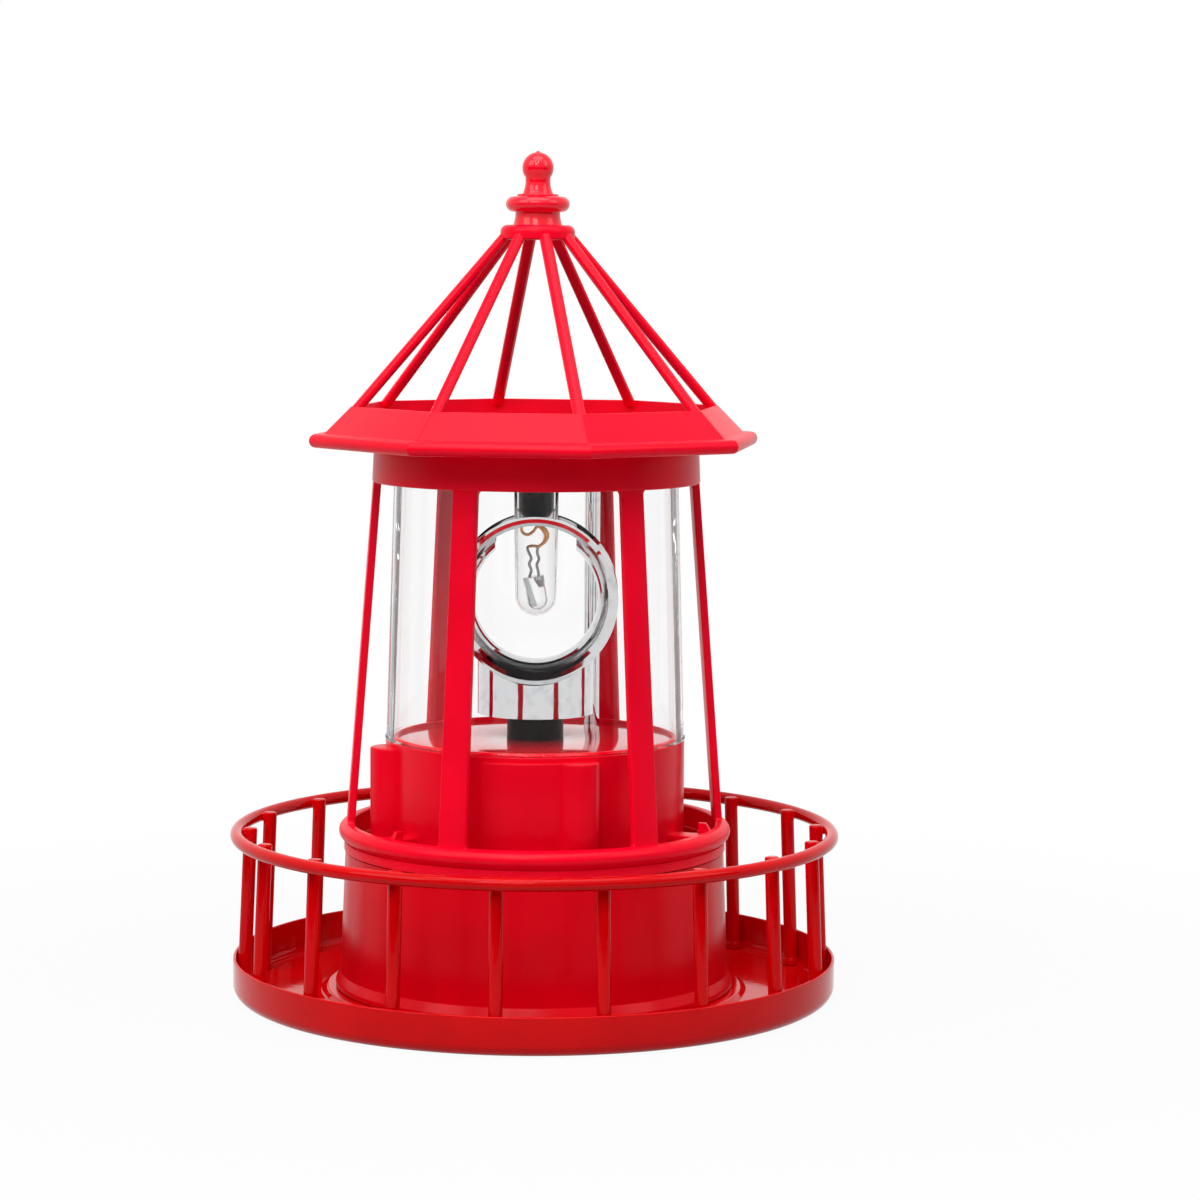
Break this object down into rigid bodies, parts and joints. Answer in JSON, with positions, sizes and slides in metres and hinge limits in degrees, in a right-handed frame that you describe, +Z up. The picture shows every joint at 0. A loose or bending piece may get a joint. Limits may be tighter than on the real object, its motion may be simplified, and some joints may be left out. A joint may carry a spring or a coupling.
{
  "type": "garden lighthouse ornament",
  "caption": "Lighthouse lantern ornament: railed round gallery, clear tube round a revolving reflector and bulb, slender cage and open octagonal roof with a ball finial.",
  "frame": {"origin": "centre of the gallery tray on the ground plane", "axes": "+Z up along the lantern's axis, -Y toward the pictured side, +X to the right in the picture"},
  "size_m": [0.1512, 0.1512, 0.2087],
  "materials": {
    "gallery_paint": "glossy enamel on steel",
    "red_plastic": "glossy moulded red",
    "cover_plastic": "fine moulded texture",
    "steel": "plain zinc plated",
    "cell_sleeve": "shrink sleeve over a steel can",
    "circuit_board": "solder mask",
    "black_plastic": "fine moulded black",
    "gear_plastic": "natural acetal",
    "brass": "turned",
    "copper_wire": "bare copper",
    "chrome": "bright plating",
    "clear_plastic": "clear, polished",
    "bulb_glass": "clear",
    "wire_sleeve": "soft sleeve",
    "solar_cell": "dark cells under a clear coat"
  },
  "bodies": {
    "base": {"gallery_tray": "gallery_paint", "gallery_rail": "gallery_paint", "tray_screws": "steel", "base_housing": "red_plastic", "bottom_cover": "cover_plastic", "cover_screws": "steel", "battery_door": "cover_plastic", "door_screw": "steel", "battery_cell": "cell_sleeve", "contact_plate": "steel", "contact_spring": "steel", "circuit_board": "circuit_board", "switch_case": "black_plastic", "upper_body": "red_plastic", "body_screws": "steel", "gear_plate": "gear_plastic", "plate_screws": "steel", "motor": "steel", "idler_axle": "steel", "floor_disc": "red_plastic", "clear_tube": "clear_plastic", "solar_holder": "black_plastic", "solar_panel": "solar_cell", "bulb_socket": "black_plastic", "bulb_glass": "bulb_glass", "led": "bulb_glass", "led_leads": "copper_wire", "conduit": "chrome", "conduit_wires": "wire_sleeve", "rail_post_01": "gallery_paint", "rail_post_02": "gallery_paint", "rail_post_03": "gallery_paint", "rail_post_04": "gallery_paint", "rail_post_05": "gallery_paint", "rail_post_06": "gallery_paint", "rail_post_07": "gallery_paint", "rail_post_08": "gallery_paint", "rail_post_09": "gallery_paint", "rail_post_10": "gallery_paint", "rail_post_11": "gallery_paint", "rail_post_12": "gallery_paint", "rail_post_13": "gallery_paint", "rail_post_14": "gallery_paint", "rail_post_15": "gallery_paint", "rail_post_16": "gallery_paint", "rail_post_17": "gallery_paint", "rail_post_18": "gallery_paint"},
    "rotor": {"spindle": "black_plastic", "reflector": "chrome"},
    "idler": {"idler_gear": "gear_plastic"},
    "pinion": {"motor_pinion": "brass"},
    "cage": {"cage": "red_plastic", "eave": "red_plastic", "spire": "red_plastic", "finial": "red_plastic"},
    "knob": {"switch_knob": "black_plastic"}
  },
  "joints": [
    {"name": "rotor_spin", "type": "hinge", "parent": "base", "child": "rotor", "pos_m": [0, 0, 0.06], "axis": [0, 0, 1], "continuous": true},
    {"name": "idler_spin", "type": "hinge", "parent": "base", "child": "idler", "pos_m": [-0.0075, -0.01299, 0.055], "axis": [0, 0, 1], "continuous": true},
    {"name": "pinion_spin", "type": "hinge", "parent": "base", "child": "pinion", "pos_m": [-0.01999, -0.01299, 0.05], "axis": [0, 0, 1], "continuous": true},
    {"name": "cage_twist", "type": "hinge", "parent": "base", "child": "cage", "pos_m": [0, 0, 0.04], "axis": [0, 0, 1], "range_deg": [0, 20]},
    {"name": "knob_slide", "type": "slide", "parent": "base", "child": "knob", "axis": [1, 0, 0], "range_m": [0, 0.003]}
  ],
  "couplings": [
    {"joint": "idler_spin", "follows": "rotor_spin", "ratio": -4},
    {"joint": "pinion_spin", "follows": "rotor_spin", "ratio": 16}
  ]
}
